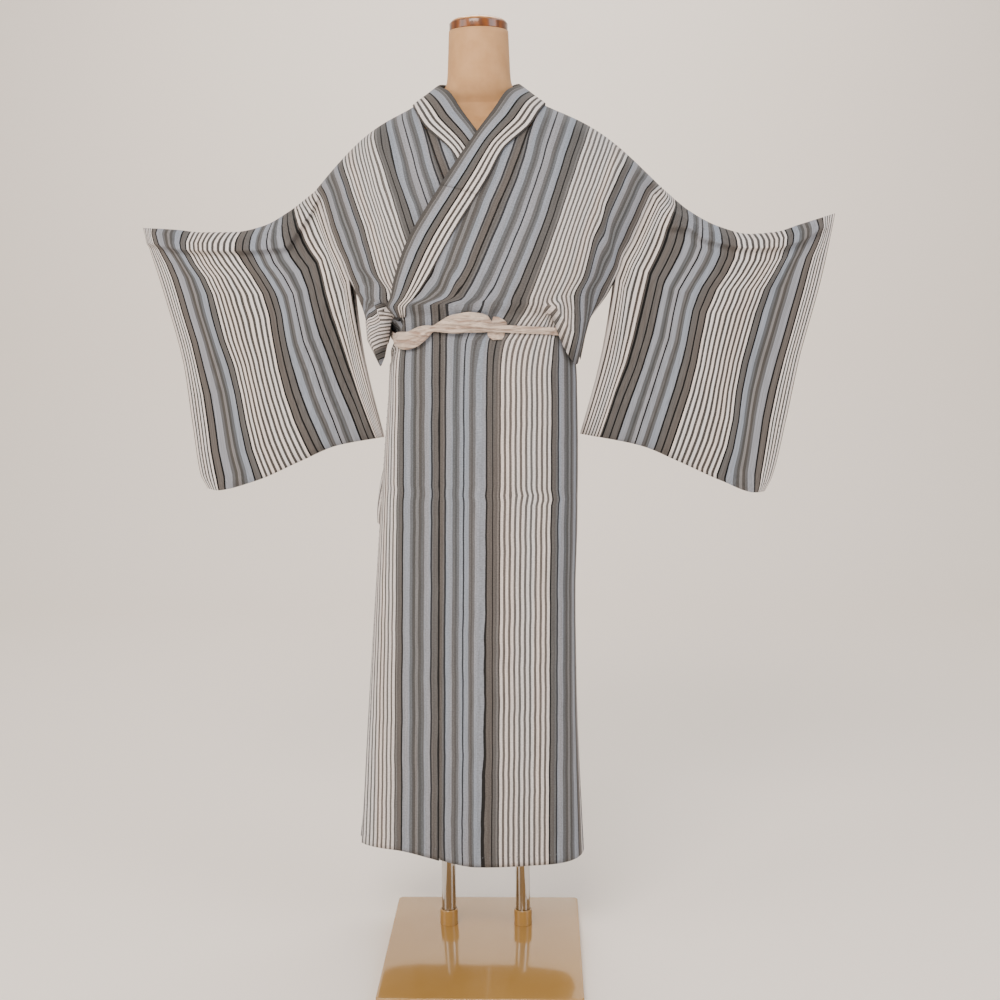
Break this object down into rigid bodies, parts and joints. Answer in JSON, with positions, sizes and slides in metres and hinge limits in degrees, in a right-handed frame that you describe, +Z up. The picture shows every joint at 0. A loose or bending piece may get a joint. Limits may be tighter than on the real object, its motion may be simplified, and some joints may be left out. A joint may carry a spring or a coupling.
{
  "type": "kimono on a limbless dress form",
  "caption": "Woman's striped summer kimono worn closed with a narrow soft waist tie, on a limbless dress form with a pole stand and flat base.",
  "frame": {"origin": "on the floor, on the base plate's underside, midway between the two poles", "axes": "+Z up, the front of the garment faces -Y, +X is the wearer's left"},
  "size_m": [1.2415, 0.4105, 1.6593],
  "materials": {
    "striped_cloth": "thin woven summer cloth in lengthwise stripes of blue-grey, grey, taupe, black and white, slightly sheer, with a faint sheen",
    "collar_cloth": "the same striped cloth, folded double",
    "tie_cloth": "thin soft beige crepe",
    "form_fabric": "beige jersey stretched over the form",
    "cap_wood": "dark varnished wood, gloss",
    "chrome": "bright chrome tube",
    "cream_enamel": "cream beige enamel, gloss"
  },
  "bodies": {
    "root": {"body_front_left": "striped_cloth", "body_front_right": "striped_cloth", "body_back_left": "striped_cloth", "body_back_right": "striped_cloth", "skirt_front_left": "striped_cloth", "skirt_front_right": "striped_cloth", "skirt_back_left": "striped_cloth", "skirt_back_right": "striped_cloth", "okumi_left": "striped_cloth", "okumi_right": "striped_cloth", "skirt_okumi_left": "striped_cloth", "skirt_okumi_right": "striped_cloth", "sleeve_left": "striped_cloth", "sleeve_right": "striped_cloth", "collar": "collar_cloth", "collar_cover": "collar_cloth", "tie_band": "tie_cloth", "tie_end": "tie_cloth", "form_torso": "form_fabric", "form_cap": "cap_wood", "pole_left": "chrome", "pole_right": "chrome", "socket_left": "cream_enamel", "socket_right": "cream_enamel", "base_plate": "cream_enamel"}
  },
  "joints": []
}
